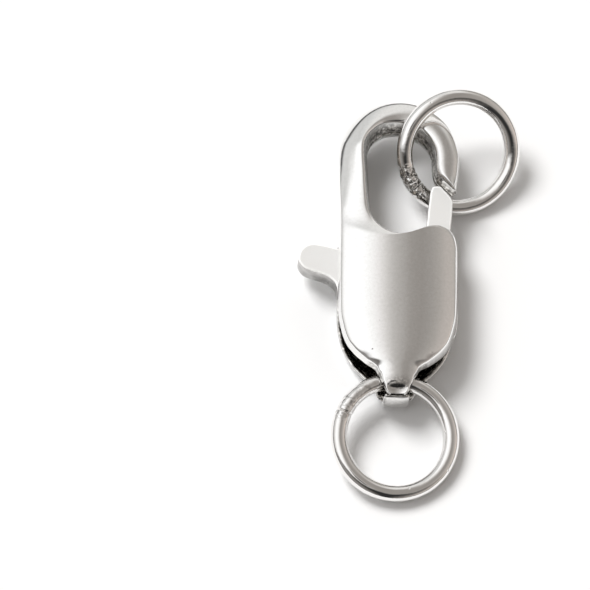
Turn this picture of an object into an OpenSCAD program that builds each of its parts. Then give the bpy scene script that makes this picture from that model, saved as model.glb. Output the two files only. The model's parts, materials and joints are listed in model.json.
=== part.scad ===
// Lobster clasp of bright plated metal, with a jump ring in its hook and another in its tail eye.
// It lies on its back, as the rings and the back's dome let it.
// X runs across the clasp, Y from the tail eye to the hook, Z up from the surface it lies on.
// The origin is on that surface, under the middle of the clasp with its rings.

/* [Clasp body] */
// Length from the tail's end to the top of the hook
clasp_l = 12.15; // [9:0.01:18]
// Width across the body at its seam
clasp_w = 4.78; // [3.5:0.01:7]
// Thickness from the front's crest to the back's crest
clasp_t = 2.5; // [2:0.01:4]
// Height of each half's wall, from the seam to its shoulder
wall_h = 0.75; // [0.6:0.01:1.2]
// How far a shoulder stands inside the seam's outline
draft = 0.13; // [0.02:0.01:0.16]
// The same on the walls of the hook's window
window_draft = 0.03; // [0.01:0.01:0.05]
// Thickness of the pressed sheet
sheet_t = 0.18; // [0.12:0.01:0.22]
// Open seam between the two halves
seam_gap = 0.04; // [0.02:0.01:0.08]
// Rise of the hook's arched face above its two edges
arch_h = 0.11; // [0.06:0.01:0.14]
// How much lower the hook's face lies along its outer edge
hook_drop = 0.23; // [0.05:0.01:0.25]
// How much higher it lies along the window, on the hook's arm
hook_rise = 0.37; // [0.1:0.01:0.4]
// How much lower the back's cut edge lies than its shoulder elsewhere
cut_drop = 0.24; // [0.1:0.01:0.3]

/* [Tail eye] */
// Width of the folded bar that closes the eye
bar_w = 0.84; // [0.6:0.01:1]
// How far the bar stands out past the front's lip
bar_out = 0.06; // [0:0.01:0.15]
// Height of the bar's top above the surface
bar_top = 1.62; // [1.3:0.01:1.64]
// How far the bar's rounded edges stand out
edge_r = 0.03; // [0.01:0.01:0.06]
// Outer radius of the bar's bend
bar_r = 0.3; // [0.24:0.01:0.4]
// How much lower the front's lip is than its shoulder
lip_drop = 0.15; // [0.05:0.01:0.2]

/* [Lever] */
// Thickness of the lever's plate
lever_t = 0.9; // [0.6:0.01:1]
// Height of the lever's top face above the surface
lever_top = 1.5; // [1.2:0.01:1.6]
// Clearance between the lever's top and the slot's upper edge
slot_gap = 0.04; // [0.03:0.01:0.1]
// Radius of the pivot pin
pin_r = 0.4; // [0.2:0.01:0.6]
// Radial clearance of the pin in the lever's bore
pin_gap = 0.05; // [0.02:0.01:0.08]
// Gap between the pin's ends and the two halves
pin_end_gap = 0.02; // [0.01:0.01:0.1]
// Thickness of the gate at the end of its bevelled underside
gate_tip_t = 0.06; // [0.05:0.01:0.2]
// Thickness of the gate where it leaves the body
gate_t = 0.48; // [0.3:0.01:0.6]
// How much the lever is thinned from below on the gate's side of the pivot
lever_relief = 0.15; // [0.1:0.01:0.2]
// Radial depth of the hidden return spring round the pin
spring_w = 0.1; // [0.06:0.01:0.14]
// Height of the return spring
spring_h = 0.08; // [0.05:0.01:0.1]
// Running gap between the spring and the lever
spring_gap = 0.03; // [0.02:0.01:0.05]

/* [Jump rings] */
// Outer diameter of the rings
ring_od = 5.03; // [4:0.01:7]
// Diameter of their wire
wire_d = 0.65; // [0.4:0.01:0.8]
// Width of the cut in a ring
ring_cut = 0.03; // [0.02:0.01:0.1]
// Tilt of the ring in the hook, from lying flat
hook_ring_tilt = 32; // [20:0.1:40]
// Direction in which it leans down
hook_ring_turn = -70; // [-180:0.1:180]
// Tilt of the ring in the tail eye, from lying flat
tail_ring_tilt = 11.5; // [4:0.1:20]
// Direction in which it leans down
tail_ring_turn = -60; // [-180:0.1:180]

/* [Hidden] */
mid_z = clasp_t / 2;
half_w = clasp_w / 2 - draft;
dome_h = mid_z - wall_h;
seam_h = seam_gap / 2;
slot_h = lever_top + slot_gap - mid_z;
ring_r = (ring_od - wire_d) / 2;
wire_r = wire_d / 2;
pivot = [0.4 * half_w, 0.3774 * clasp_l];

// Places of the two rings' centres, x as a share of half_w and y as a share of clasp_l
hook_ring_at = [1.0527, 0.8537];
tail_ring_at = [-0.0044, -0.1139];

// Rows of the body up to the lever's tab, the same on both sides of the middle.
// Columns: y, half width of the front, half width added on the back (shares of half_w),
// lip (1 where the front's lip is lowest), rise of the dome (share of dome_h),
// and how far the wall is cut away: front left, front right, back left, back right.
BODY = [
    [0.0000, 0.116, 0.000, 1.00, -0.08, 1.44, 1.44, 1, 1],
    [0.0066, 0.160, 0.000, 0.85, -0.10, 1.44, 1.44, 1, 1],
    [0.0197, 0.196, 0.040, 0.70, -0.04, 1.44, 1.44, 1, 1],
    [0.0279, 0.211, 0.082, 0.60, 0.02, 1.44, 1.44, 1, 1],
    [0.0410, 0.247, 0.080, 0.45, 0.09, 1.30, 1.30, 1, 1],
    [0.0632, 0.280, 0.100, 0.25, 0.20, 1.05, 1.05, 1, 1],
    [0.0738, 0.320, 0.120, 0.15, 0.25, 1.00, 1.00, 1, 1],
    [0.0845, 0.347, 0.146, 0.08, 0.31, 1.00, 1.00, 1, 1],
    [0.0952, 0.409, 0.142, 0.04, 0.38, 1.00, 0.90, 1, 1],
    [0.1075, 0.516, 0.102, 0.00, 0.46, 1.00, 0.75, 1, 1],
    [0.1198, 0.596, 0.089, 0.00, 0.55, 1.00, 0.55, 1, 1],
    [0.1354, 0.693, 0.058, 0.00, 0.66, 1.00, 0.35, 1, 1],
    [0.1501, 0.764, 0.040, 0.00, 0.75, 1.00, 0.15, 1, 1],
    [0.1682, 0.836, 0.027, 0.00, 0.85, 1.00, 0.00, 1, 1],
    [0.2043, 0.916, 0.022, 0.00, 0.97, 1.00, 0.00, 1, 1],
    [0.2240, 0.942, 0.020, 0.00, 0.99, 1.00, 0.00, 1, 0],
    [0.2551, 0.978, 0.018, 0.00, 1.00, 1.00, 0.00, 1, 0],
    [0.3100, 0.995, 0.010, 0.00, 1.00, 1.00, 0.00, 1, 0],
    [0.3774, 1.000, 0.000, 0.00, 1.00, 1.00, 0.00, 1, 0],
    [0.4266, 1.000, 0.000, 0.00, 1.00, 1.00, 0.00, 1, 0],
];

// Rows that fan round the window's lower edge and then follow the hook to its tip.
// Columns: outer x, outer y, inner x, inner y (x in half_w, y in clasp_l),
// cut on the outer side, cut on the inner.
TURN = [
    [-1.000, 0.4590, 1.001, 0.4717, 1, 0],
    [-1.000, 0.4780, 1.000, 0.5045, 1, 1],
    [-1.000, 0.4930, 0.982, 0.5260, 1, 1],
    [-1.000, 0.5040, 0.941, 0.5457, 1, 1],
    [-1.000, 0.5090, 0.877, 0.5580, 0, 1],
    [-1.000, 0.5200, 0.796, 0.5650, 0, 1],
    [-1.000, 0.5310, 0.696, 0.5678, 0, 1],
    [-1.000, 0.5410, 0.570, 0.5649, 0, 1],
    [-1.000, 0.5500, 0.435, 0.5544, 0, 1],
    [-1.000, 0.5585, 0.301, 0.5423, 0, 1],
    [-1.000, 0.5670, 0.167, 0.5331, 0, 1],
    [-1.000, 0.5755, 0.033, 0.5298, 0, 1],
    [-1.000, 0.5850, -0.098, 0.5344, 0, 0],
    [-1.000, 0.5955, -0.221, 0.5459, 0, 0],
    [-1.000, 0.6075, -0.326, 0.5630, 0, 0],
    [-1.000, 0.6225, -0.405, 0.5829, 0, 0],
    [-1.000, 0.6400, -0.463, 0.6039, 0, 0],
    [-1.000, 0.6628, -0.493, 0.6290, 0, 0],
    [-1.000, 0.6907, -0.511, 0.6595, 0, 0],
    [-1.000, 0.7260, -0.524, 0.6991, 0, 0],
    [-1.000, 0.7670, -0.542, 0.7443, 0, 0],
    [-1.000, 0.8039, -0.560, 0.7894, 0, 0],
    [-0.997, 0.8351, -0.568, 0.8222, 0, 0],
    [-0.975, 0.8624, -0.563, 0.8415, 0, 0],
    [-0.920, 0.8919, -0.536, 0.8607, 0, 0],
    [-0.827, 0.9165, -0.486, 0.8796, 0, 0],
    [-0.712, 0.9436, -0.415, 0.8956, 0, 0],
    [-0.547, 0.9731, -0.330, 0.9101, 0, 0],
    [-0.374, 0.9926, -0.241, 0.9204, 0, 0],
    [-0.174, 1.0033, -0.125, 0.9270, 0, 0],
    [0.025, 1.0055, 0.018, 0.9307, 0, 0],
    [0.225, 1.0003, 0.160, 0.9278, 0, 0],
    [0.424, 0.9878, 0.302, 0.9188, 0, 0],
    [0.606, 0.9681, 0.413, 0.9073, 0, 0],
    [0.757, 0.9457, 0.502, 0.8917, 0, 0],
    [0.881, 0.9162, 0.569, 0.8728, 0, 0],
    [0.965, 0.8817, 0.618, 0.8532, 0, 0],
    [1.019, 0.8456, 0.644, 0.8326, 0, 0],
    [1.037, 0.8185, 0.653, 0.8121, 0, 0],
    [1.032, 0.7931, 0.655, 0.7925, 0, 0],
    [1.023, 0.7685, 0.670, 0.7736, 0, 0],
    [1.011, 0.7472, 0.704, 0.7555, 0, 0],
    [1.003, 0.7324, 0.773, 0.7416, 0, 0],
    [0.999, 0.7201, 0.844, 0.7260, 0.3, 0.3],
    [0.997, 0.7094, 0.916, 0.7104, 0.7, 0.7],
    [0.995, 0.6996, 0.968, 0.6977, 1, 1],
];

// How far the middles of the first rows of TURN bow towards the tail, in clasp_l,
// to stay below the wave edge
SAG = [0, 0.011, 0.020, 0.027, 0.031, 0.035, 0.039, 0.041, 0.039, 0.033, 0.026, 0.018, 0.012, 0.006, 0.002];

// The back's tip is shorter, clear of the ring that passes under it. Columns as in TURN.
BACK_TIP = [
    [1.002, 0.7350, 0.820, 0.7440, 0, 0],
    [0.996, 0.7270, 0.930, 0.7320, 0, 0],
];
BACK_TURN = concat([for (k = [0:len(TURN) - 5]) TURN[k]], BACK_TIP);

// Rows of TURN where the walls turn into the window, where the face starts to leave the body's
// dome, where the hook's face starts to lean, where its inner edge comes down again for the
// ring, and where its outer edge comes up again
window_row = 3;
dome_row = 10;
hook_row = 11;
top_row = 22;
tip_row = 27;

// Power of the curve across a row: 2 would be a parabola, more is flatter in the middle
bow = 2.5;

// Lever's outline from above: x in half_w, y in clasp_l. It runs from the gate's root
// round the gate's end, down the body's side, round the pivot and out to the tab.
LEVER = [
    [0.475, 0.5644], [0.507, 0.6005], [0.529, 0.6456], [0.551, 0.6809], [0.578, 0.7161],
    [0.609, 0.7285], [0.671, 0.7334], [0.750, 0.7350],
    [0.829, 0.7210], [0.910, 0.7030], [0.946, 0.6890], [0.949, 0.6480], [0.922, 0.5900],
    [0.880, 0.5200], [0.850, 0.4300], [0.820, 0.3600], [0.700, 0.3150], [0.500, 0.2980],
    [0.250, 0.3050], [-0.300, 0.3300], [-0.900, 0.3430], [-1.018, 0.3511],
    [-1.040, 0.3683], [-1.076, 0.3839], [-1.147, 0.3970], [-1.231, 0.4061],
    [-1.338, 0.4135], [-1.440, 0.4184], [-1.542, 0.4250], [-1.613, 0.4315],
    [-1.667, 0.4422], [-1.707, 0.4569], [-1.711, 0.4709], [-1.689, 0.4865],
    [-1.636, 0.5012], [-1.551, 0.5127], [-1.449, 0.5168], [-1.342, 0.5144],
    [-1.222, 0.5103], [-1.116, 0.5062], [-1.031, 0.5029], [-0.900, 0.4960],
    [-0.300, 0.4900], [0.250, 0.5020], [0.420, 0.5250],
];

// Steps across a row, as shares of its width
ACROSS = [0, 0.04, 0.1, 0.18, 0.28, 0.4, 0.52, 0.64, 0.75, 0.84, 0.92, 0.97, 1];

plate = [0.86, 0.86, 0.87];

function mix(a, b, t) = a + (b - a) * t;
function unit(v) = v / max(norm(v), 0.0001);
function share_of(k, from, rows) = min(max((k - from) / rows, 0), 1);
function ease(x) = x * x * (3 - 2 * x);

// Height of the body's dome at x, above the seam
function dome_at(x) = wall_h + dome_h * (1 - pow(min(abs(x) / half_w, 1), bow));

// Height of the room inside one half, at x, where the body is full width
function inside_at(x) = dome_at(x) - sheet_t - 0.05;

// One row as [left, right, left shoulder, right shoulder, rise, left rim, right rim, right draft,
// sag, share of the body's dome]
function body_row(b, back) =
    let(
        w = half_w * (b[1] + (back ? b[2] : 0)),
        y = clasp_l * b[0],
        hl = back ? wall_h + cut_drop * b[7] : wall_h - lip_drop * b[3],
        hr = back ? wall_h + cut_drop * b[8] : wall_h - lip_drop * b[3],
        crest = back ? wall_h + dome_h * mix(0.5, 1, b[4]) : (hl + hr) / 2 + dome_h * b[4],
        rise = crest - (hl + hr) / 2
    )
    [[-w, y], [w, y], hl, hr, rise,
        back ? rim_back(hl, b[7]) : rim_front(hl, b[5]),
        back ? rim_back(hr, b[8]) : rim_front(hr, b[6]), draft, 0, 0];

function turn_row(k, back) =
    let(
        c = back ? BACK_TURN[k] : TURN[k],
        l = [half_w * c[0], clasp_l * c[1]],
        q = [half_w * c[2], clasp_l * c[3]],
        drop = back ? cut_drop * c[4] : 0,
        on_dome = 1 - ease(share_of(k, dome_row, 11)),
        lean = ease(share_of(k, hook_row, 6)),
        low = wall_h - hook_drop * (lean - 0.7 * ease(share_of(k, tip_row, 7))),
        high = wall_h + hook_rise * (lean - ease(share_of(k, top_row, 9))),
        hl = mix(low, dome_at(l[0]), on_dome) + drop,
        hr = mix(high, dome_at(q[0]), on_dome)
    )
    [l, q, hl, hr, arch_h * (1 - on_dome) - drop / 2,
        back ? rim_back(hl, c[4]) : rim_front(hl, c[4]),
        back ? rim_back(hr, c[5]) : rim_front(hr, c[5]),
        k < window_row ? draft : window_draft, k < len(SAG) ? clasp_l * SAG[k] : 0, on_dome];

function rim_front(h, cut) = min(mix(seam_h, slot_h, cut), h - sheet_t - 0.01);
function rim_back(h, cut) = mix(seam_h, h - sheet_t - 0.01, cut);

// Outward direction of a side at row i
function side_out(rows, i, side) =
    let(
        a = rows[max(i - 1, 0)][side],
        b = rows[min(i + 1, len(rows) - 1)][side],
        t = unit(b - a),
        s = side == 0 ? 1 : -1
    )
    [-t[1] * s, t[0] * s];

// Points of one row of a half, moved in by t for the inner face
function row_points(rows, i, t) =
    let(
        r = rows[i],
        width = norm(r[1] - r[0]),
        side_t = min(t, 0.38 * width),
        nl = side_out(rows, i, 0),
        nr = side_out(rows, i, 1),
        l = r[0] - nl * side_t,
        q = r[1] - nr * side_t,
        lr = l + nl * draft * (r[2] - r[5]) / wall_h,
        qr = q + nr * r[7] * (r[3] - r[6]) / wall_h
    )
    concat(
        [[lr[0], lr[1], r[5]]],
        [for (s = ACROSS) [
            mix(l[0], q[0], s), mix(l[1], q[1], s) - 4 * s * (1 - s) * r[8],
            min(mix(r[2], r[3], s) + r[4] * (1 - pow(abs(2 * s - 1), bow))
                + r[9] * (dome_at(mix(l[0], q[0], s)) - mix(dome_at(l[0]), dome_at(q[0]), s)), mid_z) - t
        ]],
        [[qr[0], qr[1], r[6]]]
    );

// Points of one row of the folded bar, from [y, height] to the same on its inner face
function bar_points(outer, inner, w, mid) =
    concat(
        [[-w / 2 - edge_r, mix(outer[0], inner[0], mid), mix(outer[1], inner[1], mid)]],
        [for (s = ACROSS) [mix(-w / 2, w / 2, s),
            mid < 0.5 ? outer[0] : inner[0], mid < 0.5 ? outer[1] : inner[1]]],
        [[w / 2 + edge_r, mix(outer[0], inner[0], mid), mix(outer[1], inner[1], mid)]]
    );

// A closed sheet between a grid of outer points and the same grid of inner points
module sheet(outer, inner) {
    n = len(outer[0]);
    m = len(outer);
    o = function(i, j) i * n + j;
    q = function(i, j) m * n + i * n + j;
    polyhedron(
        points = concat([for (r = outer) each r], [for (r = inner) each r]),
        faces = concat(
            [for (i = [0:m - 2], j = [0:n - 2]) each [
                [o(i, j), o(i + 1, j), o(i + 1, j + 1)],
                [o(i, j), o(i + 1, j + 1), o(i, j + 1)],
                [q(i, j), q(i + 1, j + 1), q(i + 1, j)],
                [q(i, j), q(i, j + 1), q(i + 1, j + 1)]
            ]],
            [for (i = [0:m - 2]) each [
                [o(i + 1, 0), o(i, 0), q(i, 0)],
                [o(i + 1, 0), q(i, 0), q(i + 1, 0)],
                [o(i, n - 1), o(i + 1, n - 1), q(i + 1, n - 1)],
                [o(i, n - 1), q(i + 1, n - 1), q(i, n - 1)]
            ]],
            [for (j = [0:n - 2]) each [
                [o(0, j), o(0, j + 1), q(0, j + 1)],
                [o(0, j), q(0, j + 1), q(0, j)],
                [o(m - 1, j + 1), o(m - 1, j), q(m - 1, j)],
                [o(m - 1, j + 1), q(m - 1, j), q(m - 1, j + 1)]
            ]]
        ),
        convexity = 10
    );
}

module placed() {
    translate([-mid_x, -mid_y, 0])
        children();
}

module front_shell() {
    rows = concat([for (b = BODY) body_row(b, false)],
        [for (k = [0:len(TURN) - 1]) turn_row(k, false)]);
    color(plate)
        placed()
            translate([0, 0, mid_z])
                sheet([for (i = [0:len(rows) - 1]) row_points(rows, i, 0)],
                    [for (i = [0:len(rows) - 1]) row_points(rows, i, sheet_t)]);
}

module back_shell() {
    first = 3;
    rows = concat([for (k = [first:len(BODY) - 1]) body_row(BODY[k], true)],
        [for (k = [0:len(BACK_TURN) - 1]) turn_row(k, true)]);
    low = wall_h + cut_drop;
    bend = low - bar_r;
    in_r = bar_r - sheet_t;
    ends = concat(
        [[[-bar_out, mid_z - bar_top], [sheet_t - bar_out, mid_z - bar_top]]],
        [for (a = [0:30:90]) [
            [bar_r - bar_out - bar_r * cos(a), bend + bar_r * sin(a)],
            [bar_r - bar_out - in_r * cos(a), bend + in_r * sin(a)]]]
    );
    color(plate)
        placed()
            translate([0, 0, mid_z])
                mirror([0, 0, 1])
                    sheet(
                        concat([for (e = ends) bar_points(e[0], e[1], bar_w, 0.4)],
                            [for (i = [0:len(rows) - 1]) row_points(rows, i, 0)]),
                        concat([for (e = ends) bar_points(e[0], e[1], bar_w, 0.6)],
                            [for (i = [0:len(rows) - 1]) row_points(rows, i, sheet_t)]));
}

// The lever is flat, with its gate thinned from below by a relief turned about the pivot
module lever() {
    reach = clasp_l * 0.3665;
    hub_r = pin_r + pin_gap + spring_w + spring_gap;
    low = lever_top - lever_t;
    color(plate)
        placed()
            difference() {
                translate([0, 0, low])
                    linear_extrude(lever_t)
                        polygon([for (p = LEVER) [p[0] * half_w, p[1] * clasp_l]]);
                translate([pivot[0], pivot[1], low - 1])
                    cylinder(r = pin_r + pin_gap, h = lever_t + 2, $fn = 64);
                translate([pivot[0], pivot[1], 0])
                    rotate([0, 0, -40])
                        rotate_extrude(angle = 175, $fn = 128)
                            polygon([
                                [hub_r, low - 1], [1.2 * reach, low - 1],
                                [1.2 * reach, lever_top - gate_tip_t],
                                [0.985 * reach, lever_top - gate_tip_t],
                                [0.865 * reach, lever_top - gate_t],
                                [0.55 * reach, lever_top - gate_t],
                                [0.55 * reach, low + lever_relief],
                                [hub_r, low + lever_relief]
                            ]);
            }
}

module pivot_pin() {
    half = inside_at(pivot[0] + pin_r) - pin_end_gap;
    color(plate)
        placed()
            translate([pivot[0], pivot[1], mid_z - half])
                cylinder(r = pin_r, h = 2 * half, $fn = 64);
}

// A plain coil round the pin, under the lever
module return_spring() {
    color(plate)
        placed()
            translate([pivot[0], pivot[1], lever_top - lever_t - spring_h - spring_gap])
                difference() {
                    cylinder(r = pin_r + pin_gap + spring_w, h = spring_h, $fn = 64);
                    translate([0, 0, -1])
                        cylinder(r = pin_r + pin_gap, h = spring_h + 2, $fn = 64);
                }
}

// A ring of round wire, cut once, that leans with its lowest side on the surface
module jump_ring(at, tilt, turn, cut_at) {
    cut_angle = ring_cut / ring_r * 180 / PI;
    color(plate)
        placed()
            translate([at[0] * half_w, at[1] * clasp_l, wire_r + ring_r * sin(tilt)])
                rotate([0, tilt, turn])
                    rotate([0, 0, cut_at + cut_angle / 2])
                        rotate_extrude(angle = 360 - cut_angle, $fn = 96)
                            translate([ring_r, 0])
                                circle(r = wire_r, $fn = 32);
}

module tail_ring() {
    jump_ring(tail_ring_at, tail_ring_tilt, tail_ring_turn, tail_cut_at);
}

module hook_ring() {
    jump_ring(hook_ring_at, hook_ring_tilt, hook_ring_turn, hook_cut_at);
}

// Middle of the whole part, from the rings' and the lever's own reach
function reach_of(tilt, angle) = ring_r * sqrt(1 - pow(sin(tilt) * cos(angle), 2)) + wire_r;

hook_reach_x = hook_ring_at[0] * half_w + reach_of(hook_ring_tilt, hook_ring_turn);
hook_reach_y = hook_ring_at[1] * clasp_l + reach_of(hook_ring_tilt, hook_ring_turn - 90);
tail_reach_y = tail_ring_at[1] * clasp_l - reach_of(tail_ring_tilt, tail_ring_turn - 90);
tab_reach_x = half_w * min([for (p = LEVER) p[0]]);
mid_x = (hook_reach_x + tab_reach_x) / 2;
mid_y = (hook_reach_y + tail_reach_y) / 2;

// Where the rings' cuts are, round each ring from its lowest side
tail_cut_at = 217;
hook_cut_at = -68;

front_shell();
back_shell();
lever();
pivot_pin();
return_spring();
tail_ring();
hook_ring();
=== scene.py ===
import json
import math

import bpy
import numpy as np
from mathutils import Matrix, Vector, noise


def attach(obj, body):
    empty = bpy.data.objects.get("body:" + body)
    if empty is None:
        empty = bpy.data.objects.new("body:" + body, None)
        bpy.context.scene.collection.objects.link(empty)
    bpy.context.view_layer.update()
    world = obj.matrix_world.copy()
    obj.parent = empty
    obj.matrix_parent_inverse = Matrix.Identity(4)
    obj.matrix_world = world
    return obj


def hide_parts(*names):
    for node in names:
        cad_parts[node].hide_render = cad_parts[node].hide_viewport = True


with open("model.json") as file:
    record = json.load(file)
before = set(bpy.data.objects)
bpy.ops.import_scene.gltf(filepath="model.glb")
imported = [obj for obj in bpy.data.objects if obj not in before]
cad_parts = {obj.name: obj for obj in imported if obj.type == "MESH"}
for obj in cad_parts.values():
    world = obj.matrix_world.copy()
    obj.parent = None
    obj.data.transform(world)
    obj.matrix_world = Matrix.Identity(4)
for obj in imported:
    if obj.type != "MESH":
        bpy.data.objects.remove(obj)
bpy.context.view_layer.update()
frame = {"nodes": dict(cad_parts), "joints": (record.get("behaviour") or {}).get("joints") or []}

mm = 0.001

clasp = {
    "length": 12.15,
    "halfWidth": 2.26,  # half of the width across the shoulders
    "thick": 2.5,
    "wall": 0.75,  # seam to shoulder
    "draft": 0.13,
    "sheet": 0.18,
    "seam": 0.02,  # from the middle plane to a closed rim
    "slot": 0.29,  # from the middle plane to the lever slot's upper edge
    "arch": 0.11,  # rise of the hook's face above its two edges
    "bow": 2.5,  # power of the curve across a row
    "pivotShare": (0.4, 0.3774),  # the lever's pivot, x in half widths and y in lengths
}
middle = clasp["thick"] / 2
dome = middle - clasp["wall"]
pivotAt = np.array(frame["joints"][0]["pos_m"][:2]) / mm
origin = pivotAt - np.array(clasp["pivotShare"]) * (clasp["halfWidth"], clasp["length"])
print("frame loaded, clasp origin at", origin.round(3), "mm")


def unit(v):
    return v / np.maximum(np.linalg.norm(v, axis=-1, keepdims=True), 1e-9)


# A curve through key rows, with `steps` new rows a span. The `along` columns measure the way between keys,
# and the `straight` columns change evenly.
def splineRows(keys, steps, along, straight=(), closed=False):
    keys = np.array(keys, float)
    if closed:
        keys = np.vstack([keys[-2:], keys, keys[:3]])
    gaps = np.maximum(np.linalg.norm(np.diff(keys[:, along], axis=0), axis=1), 1e-6)
    slopes = np.diff(keys, axis=0) / gaps[:, None]
    inner = slopes[:-1] * gaps[1:, None] + slopes[1:] * gaps[:-1, None]
    inner = inner / (gaps[1:] + gaps[:-1])[:, None]
    tangents = np.vstack([slopes[:1], inner, slopes[-1:]])
    rows = []
    first, last = (2, len(keys) - 4) if closed else (0, len(keys) - 2)
    for i in range(first, last + 1):
        for t in np.arange(steps) / steps:
            row = (
                (2 * t**3 - 3 * t**2 + 1) * keys[i]
                + (t**3 - 2 * t**2 + t) * gaps[i] * tangents[i]
                + (3 * t**2 - 2 * t**3) * keys[i + 1]
                + (t**3 - t**2) * gaps[i] * tangents[i + 1]
            )
            for c in straight:
                row[c] = keys[i][c] * (1 - t) + keys[i + 1][c] * t
            rows.append(row)
    if not closed:
        rows.append(keys[-1])
    return np.array(rows)


# Quads between neighbouring loops of `size` points each
def bandFaces(loops, size, flip=False):
    faces = []
    for i in range(loops - 1):
        for j in range(size):
            k = (j + 1) % size
            quad = (i * size + j, (i + 1) * size + j, (i + 1) * size + k, i * size + k)
            faces.append(quad[:1] + quad[:0:-1] if flip else quad)
    return faces


# Point by point, how strongly the surface takes the streaked raw colour: partly unpolished metal, partly
# painted shade and painted reflections
def makePiece(name, points, faces, body, levels=1, rawnessAndPaintedLight=None):
    mesh = bpy.data.meshes.new(name)
    mesh.from_pydata([tuple(p * mm) for p in points], [], [tuple(f) for f in faces])
    mesh.polygons.foreach_set("use_smooth", [True] * len(faces))
    mesh.validate()
    if rawnessAndPaintedLight is not None:
        mesh.attributes.new("rawAndPaintedLight", "FLOAT", "POINT").data.foreach_set("value", rawnessAndPaintedLight)
    piece = bpy.data.objects.new(name, mesh)
    bpy.context.scene.collection.objects.link(piece)
    if levels:
        smooth = piece.modifiers.new("smooth", "SUBSURF")
        smooth.levels = smooth.render_levels = levels
    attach(piece, body)
    print("made", name, "with", len(faces), "faces before smoothing")
    return piece


# Rows of the body up to the lever's tab, the same on both sides of the middle:
# y, half width of the front, width added on the back, lip, dome, cuts front left, front right,
# back left, back right.
bodyRows = [
    (0.0000, 0.116, 0.000, 1.00, -0.08, 1.44, 1.44, 1, 1),
    (0.0066, 0.160, 0.000, 0.85, -0.12, 1.44, 1.44, 1, 1),
    (0.0197, 0.196, 0.040, 0.70, -0.09, 1.44, 1.44, 1, 1),
    (0.0279, 0.211, 0.082, 0.60, 0.02, 1.44, 1.44, 1, 1),
    (0.0410, 0.247, 0.080, 0.45, 0.13, 1.30, 1.30, 1, 1),
    (0.0632, 0.280, 0.100, 0.25, 0.20, 1.05, 1.05, 1, 1),
    (0.0738, 0.320, 0.120, 0.15, 0.25, 1.00, 1.00, 1, 1),
    (0.0845, 0.347, 0.146, 0.08, 0.31, 1.00, 1.00, 1, 1),
    (0.0952, 0.409, 0.142, 0.04, 0.38, 1.00, 0.90, 1, 1),
    (0.1075, 0.516, 0.102, 0.00, 0.46, 1.00, 0.75, 1, 1),
    (0.1198, 0.596, 0.089, 0.00, 0.55, 1.00, 0.55, 1, 1),
    (0.1354, 0.693, 0.058, 0.00, 0.66, 1.00, 0.35, 1, 1),
    (0.1501, 0.764, 0.040, 0.00, 0.75, 1.00, 0.15, 1, 1),
    (0.1682, 0.836, 0.027, 0.00, 0.85, 1.00, 0.00, 1, 1),
    (0.2043, 0.916, 0.022, 0.00, 0.97, 1.00, 0.00, 1, 1),
    (0.2240, 0.942, 0.020, 0.00, 0.99, 1.00, 0.00, 1, 0),
    (0.2551, 0.978, 0.018, 0.00, 1.00, 1.00, 0.00, 1, 0),
    (0.3100, 0.995, 0.010, 0.00, 1.00, 1.00, 0.00, 1, 0),
    (0.3774, 1.000, 0.000, 0.00, 1.00, 1.00, 0.00, 1, 0),
    (0.4266, 1.000, 0.000, 0.00, 1.00, 1.00, 0.00, 1, 0),
]

# Rows that fan round the window's lower edge, then follow the hook to its tip:
# outer x, outer y, inner x, inner y, cuts outer, inner.
turnRows = [
    (-1.000, 0.4590, 1.001, 0.4717, 1, 0),
    (-1.000, 0.4780, 1.000, 0.5045, 1, 1),
    (-1.000, 0.4930, 0.982, 0.5260, 1, 1),
    (-1.000, 0.5040, 0.941, 0.5457, 1, 1),
    (-1.000, 0.5090, 0.877, 0.5580, 0, 1),
    (-1.000, 0.5200, 0.796, 0.5650, 0, 1),
    (-1.000, 0.5310, 0.696, 0.5678, 0, 1),
    (-1.000, 0.5410, 0.570, 0.5649, 0, 1),
    (-1.000, 0.5500, 0.435, 0.5544, 0, 1),
    (-1.000, 0.5585, 0.301, 0.5423, 0, 1),
    (-1.000, 0.5670, 0.167, 0.5331, 0, 1),
    (-1.000, 0.5755, 0.033, 0.5298, 0, 1),
    (-1.000, 0.5850, -0.098, 0.5344, 0, 0),
    (-1.000, 0.5955, -0.221, 0.5459, 0, 0),
    (-1.000, 0.6075, -0.326, 0.5630, 0, 0),
    (-1.000, 0.6225, -0.405, 0.5829, 0, 0),
    (-1.000, 0.6400, -0.463, 0.6039, 0, 0),
    (-1.000, 0.6907, -0.511, 0.6595, 0, 0),
    (-1.000, 0.7670, -0.542, 0.7443, 0, 0),
    (-0.997, 0.8351, -0.568, 0.8222, 0, 0),
    (-0.975, 0.8624, -0.563, 0.8415, 0, 0),
    (-0.914, 0.8918, -0.536, 0.8607, 0, 0),
    (-0.833, 0.9179, -0.486, 0.8796, 0, 0),
    (-0.718, 0.9450, -0.415, 0.8956, 0, 0),
    (-0.549, 0.9736, -0.330, 0.9101, 0, 0),
    (-0.374, 0.9926, -0.241, 0.9204, 0, 0),
    (-0.174, 1.0033, -0.125, 0.9270, 0, 0),
    (0.025, 1.0055, 0.018, 0.9307, 0, 0),
    (0.225, 1.0003, 0.160, 0.9278, 0, 0),
    (0.424, 0.9878, 0.302, 0.9188, 0, 0),
    (0.606, 0.9681, 0.413, 0.9073, 0, 0),
    (0.757, 0.9457, 0.502, 0.8917, 0, 0),
    (0.881, 0.9162, 0.569, 0.8728, 0, 0),
    (0.965, 0.8817, 0.618, 0.8532, 0, 0),
    (1.019, 0.8456, 0.644, 0.8326, 0, 0),
    (1.037, 0.8185, 0.653, 0.8121, 0, 0),
    (1.032, 0.7931, 0.655, 0.7925, 0, 0),
    (1.023, 0.7685, 0.670, 0.7736, 0, 0),
    (1.011, 0.7472, 0.704, 0.7555, 0, 0),
    (1.003, 0.7324, 0.773, 0.7416, 0, 0),
    (0.999, 0.7201, 0.844, 0.7260, 0.3, 0.3),
    (0.997, 0.7094, 0.916, 0.7104, 0.7, 0.7),
    (0.995, 0.6996, 0.968, 0.6977, 1, 1),
]

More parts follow.
